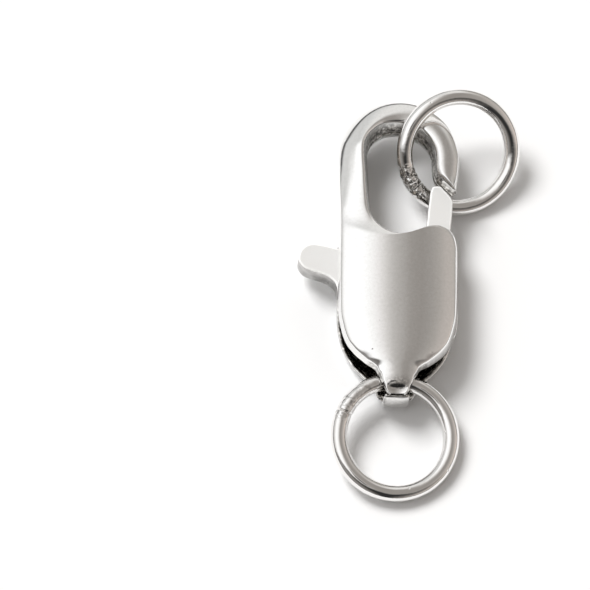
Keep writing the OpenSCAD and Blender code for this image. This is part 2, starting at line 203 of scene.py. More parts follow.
# How far the middles of the first rows of the turn bow towards the tail, to stay below the wave edge
turnSags = [
    0, 0.011, 0.020, 0.027, 0.031, 0.035, 0.039, 0.041, 0.039, 0.033, 0.026, 0.018, 0.012, 0.006, 0.002,
]

shell = {
    "lipDrop": 0.15,  # how much lower the tongue's lip is than the shoulder
    "cutDrop": 0.24,  # how much lower the back's cut edge is than its shoulder
    "hookDrop": 0.23,  # how much lower the hook's face is along its outer edge
    "hookRise": 0.37,  # how much higher it is along the window, on the hook's arm
    "windowDraft": 0.15,
    "windowInset": 0.12,  # how far the hook's face stands back from the window, for that draft
    "edge": 0.09,  # rounding of a shoulder
    "tongueEdge": 0.05,
    "waveEdge": 0.14,  # the same where the front turns down into the window
    "hookEdge": 0.13,
    "outerEdge": 0.05,  # the same round the hook's outside
    "outerDraft": 0.04,
    "outset": 0.08,  # how far the hook's face stands out, for that draft
    "tipLift": 0.7,  # share of hookDrop that the outer edge gains again at the tip
    "rimRound": 0.03,
    # Where a change starts and over how much it comes about, in lengths along the clasp
    "edgeGrows": (0.07, 0.06),  # from tongueEdge to edge
    "armFalls": (0.55, 0.26),  # the arm's outer edge, by hookDrop
    "armStandsOut": (0.6, 0.15),
    # The same in rows of the turn
    "waveRounds": (1, 3),
    "draftChanges": (2, 2),
    "leavesDome": (10, 9),
    "leans": (11, 9),
    "insetGrows": (11, 7),
    "windowRounds": (11, 5),
    "lowersForRing": (19, 9),
    "insetEnds": (24, 6),
    "tipLifts": (24, 7),
    "outsetEnds": (28, 6),
    "armRows": 19,  # rows of the turn up to the top of the hook
    "backTip": [(1.002, 0.7350, 0.820, 0.7440, 0, 0), (0.996, 0.7270, 0.930, 0.7320, 0, 0)],
    "backShorter": 4,  # last rows of the turn that the back's own tip stands for
    "backFirst": 3,  # the back starts at this row of the body
    "backDome": 0.5,  # share of the dome that the back keeps down to its tail
    "across": 17,
    "wallColumns": 3,  # the first columns of points, up to an edge
    "stepsPerRow": 3,
    # Limits in narrow rows
    "mostInset": 0.38,  # of the inner face, in widths of the row
    "mostRound": (0.45, 0.6),  # of an edge, in widths of the row and in wall depths
    "leastRound": 0.02,
    "leastWall": 0.03,
    "roundLost": 0.3,  # how much less an inner edge is rounded, in insets
    "rimGap": 0.01,  # least height from a rim to the inner face
}
bar = {"width": 0.96, "out": 0.06, "top": 1.62, "bend": 0.3, "edge": 0.03, "round": 0.05, "rise": 0.02}

# Columns of a section: left xyz, right xyz, up xyz, rise, wall depths, flares, edge radii, sag,
# share of the body's dome
leftAt, rightAt, upAt = slice(0, 3), slice(3, 6), slice(6, 9)
riseAt, depthAt, flareAt, roundAt, sagAt, domeAt = 9, 10, 12, 14, 16, 17


def domeHeight(x):
    return clasp["wall"] + dome * (1 - np.minimum(np.abs(x) / clasp["halfWidth"], 1) ** clasp["bow"])


def rimHeight(height, cut, isBack):
    low = height - clasp["sheet"] - shell["rimGap"]
    if isBack:
        return clasp["seam"] + (low - clasp["seam"]) * cut
    return min(clasp["seam"] + (clasp["slot"] - clasp["seam"]) * cut, low)


# How far a change of the shell has come at this place, with a soft start and end
def shareOf(place, change):
    start, length = shell[change]
    share = min(max((place - start) / length, 0), 1)
    return share * share * (3 - 2 * share)


def between(first, last, share):
    return first + (last - first) * share


def section(left, right, heights, rise, cuts, drafts, rounds, isBack, sag=0, onDome=0):
    rims = [rimHeight(h, c, isBack) for h, c in zip(heights, cuts)]
    depths = [h - r for h, r in zip(heights, rims)]
    flares = [d * depth / clasp["wall"] for d, depth in zip(drafts, depths)]
    scale = (clasp["halfWidth"], clasp["length"])
    return [
        left[0] * scale[0], left[1] * scale[1], heights[0],
        right[0] * scale[0], right[1] * scale[1], heights[1],
        0, 0, 1, rise, *depths, *flares, *rounds, sag * scale[1], onDome,
    ]


def bodySection(row, isBack):
    y, front, added, lip, domeShare = row[:5]
    half = front + (added if isBack else 0)
    cuts = row[7:9] if isBack else row[5:7]
    if isBack:
        heights = [clasp["wall"] + shell["cutDrop"] * c for c in cuts]
        crest = clasp["wall"] + dome * between(shell["backDome"], 1, domeShare)
    else:
        heights = [clasp["wall"] - shell["lipDrop"] * lip] * 2
        crest = heights[0] + dome * domeShare
    drafts = [clasp["draft"]] * 2
    edge = between(shell["tongueEdge"], shell["edge"], shareOf(y, "edgeGrows"))
    rise = crest - sum(heights) / 2
    return section((-half, y), (half, y), heights, rise, cuts, drafts, [edge] * 2, isBack)


def turnSection(row, k, isBack):
    outX, outY, inX, inY, cutOut, cutIn = row
    onArm = k < shell["armRows"]
    lean = shareOf(k, "leans")
    onDome = 1 - shareOf(k, "leavesDome")
    # the face stands back from the window and out from the outline, for the walls' drafts
    inset = shell["windowInset"] * shareOf(k, "insetGrows") * (1 - shareOf(k, "insetEnds"))
    stand = shareOf(outY, "armStandsOut") if onArm else 1 - shareOf(k, "outsetEnds")
    outward = np.array([(outX - inX) * clasp["halfWidth"], (outY - inY) * clasp["length"]])
    outward = outward / np.linalg.norm(outward) / (clasp["halfWidth"], clasp["length"])
    fall = shareOf(outY, "armFalls") if onArm else 1
    inX, inY = np.array([inX, inY]) + outward * inset
    outX, outY = np.array([outX, outY]) + outward * shell["outset"] * stand
    low = clasp["wall"] - shell["hookDrop"] * (fall - shell["tipLift"] * shareOf(k, "tipLifts"))
    high = clasp["wall"] + shell["hookRise"] * (lean - shareOf(k, "lowersForRing"))
    high = between(high, domeHeight(inX * clasp["halfWidth"]), onDome)
    drop = shell["cutDrop"] * cutOut if isBack else 0
    drafts = [
        between(clasp["draft"], shell["outerDraft"], stand),
        between(clasp["draft"], shell["windowDraft"], shareOf(k, "draftChanges")),
    ]
    waveRound = between(shell["edge"], shell["waveEdge"], shareOf(k, "waveRounds"))
    rounds = [
        between(shell["edge"], shell["outerEdge"], lean),
        between(waveRound, shell["hookEdge"], shareOf(k, "windowRounds")),
    ]
    rise = clasp["arch"] * (1 - onDome) - drop / 2
    sag = turnSags[k] if k < len(turnSags) else 0
    left, right, heights = (outX, outY), (inX, inY), (low + drop, high)
    return section(left, right, heights, rise, (cutOut, cutIn), drafts, rounds, isBack, sag, onDome)


# The fold at the tail: the back's sheet comes up round a bend and closes the eye.
def barSections():
    low = clasp["wall"] + shell["cutDrop"]
    bend, half = bar["bend"], bar["width"] / 2
    places = [(-bar["out"], middle - bar["top"], math.pi / 2)]
    for degrees in (90, 60, 30, 0):
        a = math.radians(degrees)
        places.append((bend - bar["out"] - bend * math.sin(a), low - bend + bend * math.cos(a), a))
    depths, flares, rounds = [clasp["sheet"] / 2] * 2, [bar["edge"]] * 2, [bar["round"]] * 2
    return [
        [-half, y, height, half, y, height, 0, -math.sin(a), math.cos(a), bar["rise"],
         *depths, *flares, *rounds, 0, 0]
        for y, height, a in places
    ]


# Points of one face of the sheet, from the left rim over the dome to the right rim
def facePoints(rows, inset):
    left, right, up = rows[:, leftAt], rows[:, rightAt], unit(rows[:, upAt])
    across = right - left
    width = np.linalg.norm(across, axis=1)
    alongLeft, alongRight = unit(np.gradient(left, axis=0)), unit(np.gradient(right, axis=0))
    outLeft, outRight = unit(np.cross(up, alongLeft)), unit(np.cross(alongRight, up))
    sideInset = np.minimum(inset, shell["mostInset"] * width)[:, None]
    cornerLeft = left - outLeft * sideInset - up * inset
    cornerRight = right - outRight * sideInset - up * inset
    toHook = np.array([0, 1, 0])

    # the point of each row at share s of its way from left to right
    def onFace(s):
        s = s[:, None]
        base = cornerLeft * (1 - s) + cornerRight * s - toHook * 4 * s * (1 - s) * rows[:, sagAt][:, None]
        lift = rows[:, riseAt][:, None] * (1 - np.abs(2 * s - 1) ** clasp["bow"])
        chord = domeHeight(cornerLeft[:, :1]) * (1 - s) + domeHeight(cornerRight[:, :1]) * s
        lift = lift + rows[:, domeAt][:, None] * (domeHeight(base[:, :1]) - chord)
        points = base + up * lift
        level = up[:, 2] > 0.999  # all rows but the bar's
        points[level, 2] = np.minimum(points[level, 2], middle - inset)
        return points

    # from the rim up the wall and round the edge; also the share of the row that the edge takes
    def side(corner, outward, which):
        depth = np.maximum(rows[:, depthAt + which][:, None] - inset, shell["leastWall"])
        depth = depth - shell["rimRound"] / 2
        flare = rows[:, flareAt + which][:, None]
        ofWidth, ofDepth = shell["mostRound"]
        radius = rows[:, roundAt + which][:, None] - inset * shell["roundLost"]
        radius = np.maximum(np.minimum(radius, ofWidth * width[:, None]), shell["leastRound"])
        drop = np.minimum(radius, ofDepth * depth)
        share = (radius / width[:, None])[:, 0]
        start = corner + outward * flare * drop / depth - up * drop
        end = onFace(share if which == 0 else 1 - share)
        bottom = corner + outward * flare - up * depth
        curve = [bottom, (bottom + start) / 2]
        for t in (0, 0.25, 0.5, 0.75, 1):
            curve.append(start * (1 - t) ** 2 + corner * 2 * t * (1 - t) + end * t * t)
        return curve, share

    leftCurve, shareLeft = side(cornerLeft, outLeft, 0)
    rightCurve, shareRight = side(cornerRight, outRight, 1)
    domePoints = []
    for s in np.linspace(0, 1, shell["across"])[1:-1]:
        domePoints.append(onFace(shareLeft + (1 - shareLeft - shareRight) * s))
    return np.stack(leftCurve + domePoints + rightCurve[::-1], axis=1)


# Quads of a sheet whose rows are closed loops: the outer face, a lip, the inner face back, a lip
def sheetMesh(outer, inner, up):
    count = len(outer)
    lips = [(outer[:, i] + inner[:, i]) / 2 - up * shell["rimRound"] / 2 for i in (0, -1)]
    loops = np.concatenate([outer, lips[1][:, None], inner[:, ::-1], lips[0][:, None]], axis=1)
    size, wide = loops.shape[1], outer.shape[1]
    faces = bandFaces(count, size)
    for i, flip in ((0, False), (count - 1, True)):
        base = i * size
        for j in range(wide - 1):
            quad = [base + j, base + j + 1, base + 2 * wide - j - 1, base + 2 * wide - j]
            faces.append(quad[::-1] if flip else quad)
        for lip, a, b in ((size - 1, 0, size - 2), (wide, wide - 1, wide + 1)):
            corner = [base + lip, base + a, base + b]
            if (lip == wide) != flip:
                corner = corner[::-1]
            faces.append(corner)
    return loops.reshape(-1, 3), faces


# How strongly a shell's parts take the streaked raw colour, apart from the inner face and the window's
# walls, which take it fully. It is partly unpolished metal and partly painted shade: the inside, the
# window's walls and the hollow under the tongue are painted dark where they lie in shade or mirror the
# shaded floor.
rawAndPaintedLightShares = {
    "windowEdge": 0.5,
    "windowFrom": 2,  # row of the front's turn where the window's wall starts
    "bar": 0.25,
    "barRows": 5,
    "tongueEdges": 0.6,
    "tongueRows": 9,
    "hollow": 0.7,  # painted shade at the middle of the hollow at the tongue's end
    "hollowRows": (1, 5),
    "hollowAcross": (7, 0.15, 0.85),  # columns left out on each side, and part of a sine wave between them
}


# `wide` columns of the outer face, then a lip, the inner face and the other lip, as sheetMesh has them
def shellRawnessAndPaintedLight(count, wide, turnStart, isBack):
    step = shell["stepsPerRow"]
    wall = shell["wallColumns"]
    rawAndPaintedLight = np.zeros((count, 2 * wide + 2))
    # painted shade: the inner face, its lips and the window's walls take the full dark colour
    rawAndPaintedLight[:, wide:] = 1
    rawAndPaintedLight[turnStart:, wide - wall:] = 1
    rawAndPaintedLight[turnStart:, wide - wall] = rawAndPaintedLightShares["windowEdge"]
    if isBack:
        rawAndPaintedLight[:rawAndPaintedLightShares["barRows"] * step, :wide] = rawAndPaintedLightShares["bar"]
        return rawAndPaintedLight
    tongue = rawAndPaintedLightShares["tongueRows"] * step
    rawAndPaintedLight[:tongue, :wall] = rawAndPaintedLight[:tongue, wide - wall:wide] = rawAndPaintedLightShares["tongueEdges"]
    first, last = (row * step for row in rawAndPaintedLightShares["hollowRows"])
    margin, *wave = rawAndPaintedLightShares["hollowAcross"]
    across = np.sin(np.linspace(*wave, wide - 2 * margin) * math.pi)
    for row in range(first, last):
        deep = math.sin(math.pi * (row - first) / (last - first))
        rawAndPaintedLight[row, margin:wide - margin] = across * rawAndPaintedLightShares["hollow"] * deep
    return rawAndPaintedLight


def makeShell(name, isBack):
    if isBack:
        body = bodyRows[shell["backFirst"]:]
        turn = turnRows[:-shell["backShorter"]] + shell["backTip"]
    else:
        body, turn = bodyRows, turnRows
    keys = [bodySection(row, isBack) for row in body]
    keys += [turnSection(row, k, isBack) for k, row in enumerate(turn)]
    if isBack:
        keys = barSections() + keys
    rows = splineRows(keys, shell["stepsPerRow"], list(range(6)), straight=range(depthAt, sagAt))
    outer, inner = facePoints(rows, 0), facePoints(rows, clasp["sheet"])
    points, faces = sheetMesh(outer, inner, unit(rows[:, upAt]))
    if isBack:
        points = points * (1, 1, -1)
        faces = [f[::-1] for f in faces]
    turnStart = len(keys) - len(turn) + (0 if isBack else rawAndPaintedLightShares["windowFrom"])
    rawAndPaintedLight = shellRawnessAndPaintedLight(len(rows), outer.shape[1], turnStart * shell["stepsPerRow"], isBack)
    return makePiece(name, points + (*origin, middle), faces, "clasp", rawnessAndPaintedLight=rawAndPaintedLight.ravel())


frontShell = makeShell("front_half", False)
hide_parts("front_shell")
backShell = makeShell("back_half", True)
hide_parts("back_shell")

# Lever: its outline from above, from the gate's root round its end, down the body and out to the tab
lever = {
    "outline": [
        (0.475, 0.5644), (0.507, 0.6005), (0.529, 0.6456), (0.551, 0.6809), (0.578, 0.7161),
        (0.609, 0.7285), (0.669, 0.7315), (0.742, 0.7310), (0.815, 0.7168), (0.899, 0.6990),
        (0.942, 0.6860), (0.949, 0.6480), (0.922, 0.5900), (0.880, 0.5200), (0.850, 0.4300),
        (0.820, 0.3600), (0.700, 0.3150), (0.500, 0.2980), (0.250, 0.3050), (-0.300, 0.3300),
        (-0.900, 0.3430), (-1.018, 0.3511), (-1.040, 0.3683), (-1.076, 0.3839), (-1.147, 0.3970),
        (-1.231, 0.4061), (-1.338, 0.4135), (-1.440, 0.4184), (-1.542, 0.4250), (-1.613, 0.4315),
        (-1.667, 0.4422), (-1.707, 0.4569), (-1.709, 0.4709), (-1.689, 0.4865), (-1.636, 0.5012),
        (-1.551, 0.5127), (-1.449, 0.5168), (-1.342, 0.5144), (-1.222, 0.5103), (-1.116, 0.5062),
        (-1.031, 0.5029), (-0.900, 0.4960), (-0.300, 0.4900), (0.250, 0.5020), (0.420, 0.5250),
    ],
    "top": 1.5,
    "thick": 0.9,
    "bevel": 0.055,
    # rings of points from the face down the side: how far in and how far down, in bevels
    "side": [(1.4, 0), (1, 0), (0.45, 0.2), (0.1, 0.65), (0, 1.2), (0, 2)],
    "highlightRimBands": 3,  # bands of faces between these that get the painted highlight of the rim
    "leastSide": 1.3,  # in bevels
    "underBevel": 0.04,
    "steps": 4,
    "thinned": (-40, 135),  # bearings from the pivot between which the underside is raised
    # how high it lies there at these distances from the pivot, for the gate to clear the ring
    "underside": [
        (0.0, 0.6), (0.58, 0.6), (0.60, 0.75), (2.4, 0.75),
        (2.5, 1.02), (3.85, 1.02), (4.39, 1.44), (9, 1.44),
    ],
}


def makeLever():
    scale = np.array([clasp["halfWidth"], clasp["length"]])
    line = splineRows(np.array(lever["outline"]) * scale, lever["steps"], [0, 1], closed=True)
    before, after = np.roll(line, 1, axis=0), np.roll(line, -1, axis=0)
    along = unit(after - before)
    inward = np.stack([along[:, 1], -along[:, 0]], axis=1)
    if np.sum(inward * (line - line.mean(axis=0))) > 0:
        inward = -inward
    pivot = np.array(clasp["pivotShare"]) * scale
    away = np.linalg.norm(line - pivot, axis=1)
    bearing = np.degrees(np.arctan2(line[:, 1] - pivot[1], line[:, 0] - pivot[0]))
    distances, heights = zip(*lever["underside"])
    thinned = (bearing > lever["thinned"][0]) & (bearing < lever["thinned"][1])
    under = np.where(thinned, np.interp(away, distances, heights), lever["top"] - lever["thick"])
    top, bevel, low = lever["top"], lever["bevel"], lever["underBevel"]
    highest = top - bevel * lever["leastSide"]
    sides = [(bevel * inset, top - bevel * drop) for inset, drop in lever["side"]]
    sides += [(0, np.minimum(under + low, highest)), (low, np.minimum(under, highest))]
    rings = []
    for inset, height in sides:
        rings.append(np.column_stack([line + inward * inset, np.broadcast_to(height, len(line))]))
    count = len(line)
    points = np.vstack(rings) + (*origin, 0)
    faces = bandFaces(len(rings), count, flip=True)
    faces.append(tuple(range(count))[::-1])
    faces.append(tuple(range((len(rings) - 1) * count, len(rings) * count)))
    piece = makePiece("lever_plate", points, faces, "lever", levels=0)
    for face in piece.data.polygons[len(faces) - 2:]:
        face.use_smooth = False
    return piece


leverPlate = makeLever()
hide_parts("lever")

ring = {
    "radius": 2.19,
    "wire": 0.325,
    "around": 440,
    "section": 48,
    "cutWidth": 0.03,
    "cutEnd": (0.9, 0.04),  # share of the thickness at a cut end, and how far it takes to get full
    "wave": (2, 0.003),  # slight waves of the wire: how fine and how deep
    "lumps": (7, 14, 0.4),  # how fine the lumps are, and the finer ones' and their share
    "lumpBase": 0.15,
    "mostLump": 0.015,
    "spared": 0.004,  # thickness kept free for the waves
    # noise scale and spread of the painted dark reflections and glints on the rough patches
    "rawAndPaintedLightNoise": (6, 1.5),
    # "rough" lists patches: their middle round the ring, half length in mm, and depth of their lumps
    "tail": {
        "at": (-0.0044, -0.1139), "tilt": 11.5, "turn": -60, "cutAt": 217, "seed": 0, "rawnessAndPaintedLight": 35,
        "rough": [(206, 0.45, 0.008), (190, 0.6, 0.006), (222, 0.2, 0.01)],
    },
    "hook": {
        "at": (1.0527, 0.8537), "tilt": 32, "turn": -70, "cutAt": -68, "seed": 7, "rawnessAndPaintedLight": 11,
        "rough": [(-80, 0.5, 0.06), (-66, 0.3, 0.06), (-32, 0.25, 0.03)],
    },
}


# How thick the wire is at a spot of a ring where its lumps have this depth
def wireAt(spot, depth):
    coarse, fine, share = ring["lumps"]
    lump = (noise.noise(spot * coarse) + share * noise.noise(spot * fine) - ring["lumpBase"]) * depth
    scale, wave = ring["wave"]
    return min(lump, ring["mostLump"]) + noise.noise(spot * scale) * wave


# A ring of round wire, cut once, with lumps of solder and rough cut ends; the rough patches get speckles of
# painted dark reflection and painted glint
def makeRing(name, values, node):
    radius, wire, size = ring["radius"], ring["wire"], ring["section"]
    gap = ring["cutWidth"] / radius
    start = math.radians(values["cutAt"])
    angles = np.linspace(start + gap / 2, start + 2 * math.pi - gap / 2, ring["around"])
    atCut, reachOfCut = ring["cutEnd"]
    rawAndPaintedLightScale, rawAndPaintedLightSpread = ring["rawAndPaintedLightNoise"]
    points, rawAndPaintedLight = [], []
    for a in angles:
        fromCut = min(a - angles[0], angles[-1] - a) * radius
        thick = (wire - ring["spared"]) * min(1, atCut + fromCut / reachOfCut * (1 - atCut))
        depth = 0
        for degrees, reach, lumps in values["rough"]:
            away = math.remainder(a - math.radians(degrees), 2 * math.pi) * radius
            depth = max(depth, lumps * math.exp(-((away / reach) ** 4)))
        for b in np.linspace(0, 2 * math.pi, size, endpoint=False):
            spot = Vector((radius * math.cos(a), radius * math.sin(a), wire * math.sin(b) + values["seed"]))
            spot += Vector((math.cos(a), math.sin(a), 0)) * wire * math.cos(b)
            wireHere = thick + wireAt(spot, depth)
            out = radius + wireHere * math.cos(b)
            points.append((out * math.cos(a), out * math.sin(a), wireHere * math.sin(b)))
            # speckles of painted dark reflection and painted glint over the rough solder patches
            rawAndPaintedLight.append(min(1, depth * values["rawnessAndPaintedLight"] * (1 + rawAndPaintedLightSpread * noise.noise(spot * rawAndPaintedLightScale))))
    turn, tilt = math.radians(values["turn"]), math.radians(values["tilt"])
    lean = Matrix.Rotation(turn, 3, "Z") @ Matrix.Rotation(tilt, 3, "Y")
    points = np.array(points) @ np.array(lean).T
    centre = (
        origin[0] + values["at"][0] * clasp["halfWidth"],
        origin[1] + values["at"][1] * clasp["length"],
        wire + radius * math.sin(tilt),
    )
    faces = bandFaces(ring["around"], size)
    faces.append(tuple(range(size)))
    faces.append(tuple(range((ring["around"] - 1) * size, ring["around"] * size))[::-1])
    piece = makePiece(name, points + centre, faces, "clasp", levels=0, rawnessAndPaintedLight=rawAndPaintedLight)
    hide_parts(node)
    return piece


tailRing = makeRing("tail_jump_ring", ring["tail"], "tail_ring")
hookRing = makeRing("hook_jump_ring", ring["hook"], "hook_ring")


def startMaterial(name):
    material = bpy.data.materials.new(name)
    material.use_nodes = True
    nodes, links = material.node_tree.nodes, material.node_tree.links
    shader = nodes["Principled BSDF"]
    place = nodes.new("ShaderNodeTexCoord").outputs["Object"]
    return material, nodes, links, shader, place


def addNoise(nodes, links, place, scale, detail, rough):
    made = nodes.new("ShaderNodeTexNoise")
    made.inputs["Scale"].default_value = scale
    made.inputs["Detail"].default_value = detail
    made.inputs["Roughness"].default_value = rough
    links.new(place, made.inputs["Vector"])
    return made.outputs["Fac"]


def addRamp(nodes, links, source, stops):
    made = nodes.new("ShaderNodeValToRGB")
    ramp = made.color_ramp
    while len(ramp.elements) < len(stops):
        ramp.elements.new(0.5)
    for element, (position, value) in zip(ramp.elements, stops):
        element.position = position
        element.color = (*value, 1) if isinstance(value, tuple) else (value, value, value, 1)
    links.new(source, made.inputs["Fac"])
    return made.outputs["Color"]


def addMix(nodes, links, mask, under, over):
    made = nodes.new("ShaderNodeMixRGB")
    links.new(mask, made.inputs["Fac"])
    links.new(under, made.inputs["Color1"])
    if isinstance(over, tuple):
        made.inputs["Color2"].default_value = (*over, 1)
    else:
        links.new(over, made.inputs["Color2"])
    return made.outputs["Color"]


def addBump(nodes, links, shader, source, strength, distance, under=None):
    made = nodes.new("ShaderNodeBump")
    made.inputs["Strength"].default_value = strength
    made.inputs["Distance"].default_value = distance
    links.new(source, made.inputs["Height"])
    if under:
        links.new(under, made.inputs["Normal"])
    links.new(made.outputs["Normal"], shader.inputs["Normal"])
    return made.outputs["Normal"]


# Detail and roughness of the noises in plated(), and where their ramps start and end
fieldNoise = {"drift": (3, 0.5), "rawAndPaintedLight": (4, 0.7), "grain": (5, 0.6), "ripple": (4, 0.55)}
rampEnds = {"drift": (0.3, 0.7), "grain": (0.3, 0.75)}


# Plated metal: tint and roughness drift a little, with fine ripples and a few pits. Where the piece is raw,
# the raw stops give a streaked colour: partly an unpolished surface, partly painted shade, painted dark
# reflections and painted glints.
def plated(name, values):
    material, nodes, links, shader, place = startMaterial(name)

    def field(kind):
        return addNoise(nodes, links, place, values[kind + "Scale"], *fieldNoise[kind])

    def ramped(kind, first, last):
        start, end = rampEnds[kind]
        return addRamp(nodes, links, field(kind), [(start, first), (end, last)])

    shader.inputs["Metallic"].default_value = values["metallic"]
    colour = ramped("drift", values["dark"], values["light"])
    if "rawAndPaintedLight" in values:
        # the per-point attribute mixes in the raw colour: painted shade and painted reflections over
        # unpolished metal
        amount = nodes.new("ShaderNodeAttribute")
        amount.attribute_name = "rawAndPaintedLight"
        rawAndPaintedLightColour = addRamp(nodes, links, field("rawAndPaintedLight"), values["rawAndPaintedLight"])
        colour = addMix(nodes, links, amount.outputs["Fac"], colour, rawAndPaintedLightColour)
    links.new(colour, shader.inputs["Base Color"])
    links.new(ramped("grain", values["smooth"], values["rough"]), shader.inputs["Roughness"])
    normal = addBump(nodes, links, shader, field("ripple"), values["ripple"], values["rippleDepth"])
    pits = nodes.new("ShaderNodeTexVoronoi")
    pits.inputs["Scale"].default_value = values["pitScale"]
    links.new(place, pits.inputs["Vector"])
    hollow = addRamp(nodes, links, pits.outputs["Distance"], [(0.0, 0.0), (values["pitSize"], 1.0)])
    addBump(nodes, links, shader, hollow, values["pit"], values["pitDepth"], under=normal)
    return material


shellMetal = plated("polished_plating", {
    "metallic": 1,
    "driftScale": 9000, "dark": (0.91, 0.905, 0.895), "light": (0.955, 0.95, 0.945),
    "grainScale": 2500, "smooth": 0.09, "rough": 0.15,
    "rippleScale": 1200, "ripple": 0.12, "rippleDepth": 0.00002,
    "pitScale": 1300, "pitSize": 0.05, "pit": 0.6, "pitDepth": 0.00002,
    # raw stops: near-black and grey streaks, painted shade and painted dark reflections over unpolished
    # metal
    "rawAndPaintedLightScale": 6000,
    "rawAndPaintedLight": [(0.4, (0.10, 0.095, 0.09)), (0.52, (0.42, 0.40, 0.37)), (0.62, (0.95, 0.93, 0.90))],
})
leverMetal = plated("satin_plating", {
    "metallic": 0.46,
    "driftScale": 900, "dark": (0.93, 0.925, 0.91), "light": (0.96, 0.96, 0.95),
    "grainScale": 6000, "smooth": 0.34, "rough": 0.5,
    "rippleScale": 5000, "ripple": 0.25, "rippleDepth": 0.00001,
    "pitScale": 2600, "pitSize": 0.12, "pit": 0.5, "pitDepth": 0.00002,
})
# The lever's rim: near-white and almost matt, a painted highlight along the edge
highlightRimMetal = plated("painted_highlight_rim", {
    "metallic": 0.1,
    "driftScale": 900, "dark": (0.96, 0.95, 0.93), "light": (0.98, 0.98, 0.97),
    "grainScale": 6000, "smooth": 0.22, "rough": 0.35,
    "rippleScale": 5000, "ripple": 0.3, "rippleDepth": 0.00001,
    "pitScale": 2600, "pitSize": 0.1, "pit": 0.3, "pitDepth": 0.00002,
})
# The lever's sides: mid-grey, painted shade
shadedSideMetal = plated("painted_shade_side", {
    "metallic": 1,
    "driftScale": 3000, "dark": (0.42, 0.41, 0.40), "light": (0.62, 0.61, 0.60),
    "grainScale": 5000, "smooth": 0.25, "rough": 0.45,
    "rippleScale": 4000, "ripple": 0.4, "rippleDepth": 0.00001,
    "pitScale": 2600, "pitSize": 0.1, "pit": 0.3, "pitDepth": 0.00002,
})
wireMetal = plated("polished_wire", {
    "metallic": 1,
    "driftScale": 500, "dark": (0.90, 0.885, 0.87), "light": (0.94, 0.93, 0.92),
    "grainScale": 4000, "smooth": 0.02, "rough": 0.07,
    "rippleScale": 1800, "ripple": 0.3, "rippleDepth": 0.00003,
    "pitScale": 1500, "pitSize": 0.07, "pit": 0.4, "pitDepth": 0.00002,
    # raw stops: black and white speckles, painted dark reflections and painted glints over unpolished
    # solder
    "rawAndPaintedLightScale": 7000,
    "rawAndPaintedLight": [(0.41, (0.04, 0.04, 0.04)), (0.48, (0.50, 0.48, 0.45)), (0.53, (1.0, 1.0, 1.0))],
})
pinMetal = plated("plain_steel", {
    "metallic": 1,
    "driftScale": 800, "dark": (0.55, 0.55, 0.56), "light": (0.66, 0.66, 0.67),
    "grainScale": 5000, "smooth": 0.25, "rough": 0.4,
    "rippleScale": 4000, "ripple": 0.2, "rippleDepth": 0.00001,
    "pitScale": 2000, "pitSize": 0.06, "pit": 0.3, "pitDepth": 0.00001,
})
for piece, material in (
    (frontShell, shellMetal), (backShell, shellMetal), (leverPlate, leverMetal), (tailRing, wireMetal),
    (hookRing, wireMetal), (frame["nodes"]["pivot_pin"], pinMetal),
    (frame["nodes"]["return_spring"], pinMetal),
):
    piece.data.materials.clear()
    piece.data.materials.append(material)
leverPlate.data.materials.append(highlightRimMetal)
leverPlate.data.materials.append(shadedSideMetal)
# the first bands get the rim's painted highlight, the rest of the sides the painted shade
bands = len(lever["side"]) + 1
around = (len(leverPlate.data.polygons) - 2) // bands  # faces in each band round the lever
for face in leverPlate.data.polygons[:bands * around]:
    face.material_index = 1 if face.index < lever["highlightRimBands"] * around else 2
print("materials set")

floor = {"radius": 150, "sides": 96, "colour": (0.93, 0.93, 0.93), "roughness": 0.9, "specular": 0.1}

# The room is described by two angles from overhead: to the right, and towards the hook.
# Each strip is a list of (angle to the right, colour).
studio = {
    "overhead": [
        (-90, (0.40, 0.39, 0.38)), (-78, (0.52, 0.51, 0.50)), (-70, (0.60, 0.59, 0.58)),
        (-62, (0.76, 0.75, 0.74)), (-55, (0.90, 0.90, 0.89)), (-48, (1.12, 1.12, 1.12)),
        (-28, (1.12, 1.12, 1.12)), (-20, (1.03, 1.03, 1.02)), (-15, (0.97, 0.96, 0.95)),
        (-10, (0.87, 0.85, 0.84)), (-5, (0.74, 0.72, 0.70)), (0, (0.57, 0.55, 0.53)),
        (5, (0.42, 0.40, 0.38)), (10, (0.33, 0.31, 0.29)), (20, (0.305, 0.285, 0.265)),
        (30, (0.34, 0.32, 0.30)), (40, (0.40, 0.375, 0.35)), (50, (0.49, 0.45, 0.42)),
        (62, (0.55, 0.50, 0.46)), (76, (0.70, 0.62, 0.56)), (90, (0.70, 0.63, 0.58)),
    ],
    "behind": [
        (-90, (0.72, 0.72, 0.71)), (-50, (0.64, 0.64, 0.63)), (-25, (0.70, 0.70, 0.69)),
        (0, (0.80, 0.79, 0.77)), (25, (0.82, 0.81, 0.79)), (40, (0.62, 0.60, 0.57)),
        (52, (0.44, 0.42, 0.39)), (90, (0.38, 0.36, 0.33)),
    ],
    "inFront": [
        (-90, (0.30, 0.29, 0.28)), (-58, (0.28, 0.27, 0.26)), (-30, (0.12, 0.11, 0.10)),
        (-5, (0.03, 0.03, 0.03)), (22, (0.03, 0.03, 0.03)), (42, (0.16, 0.15, 0.14)),
        (58, (0.30, 0.27, 0.25)), (72, (0.60, 0.55, 0.50)), (90, (0.66, 0.60, 0.55)),
    ],
    # angles towards the hook, and away from it, at which these two strips take over
    "behindFrom": (30, 50),
    "inFrontFrom": (-26, -40),
    "lens": {"at": (-2.5, -22), "full": 3.5, "edge": 6.5, "colour": (0.02, 0.02, 0.02)},
    "horizon": {"colour": (0.06, 0.06, 0.06), "full": 4, "end": 10},  # dark rim, in degrees of height
    # One soft sun that no reflection shows: how far left and behind it stands, from overhead
    "sun": {"angle": (-31, 31), "width": 26, "strength": 2.62},
    "roomOnMatt": 0.87,  # share of the room's light that matt surfaces take
}


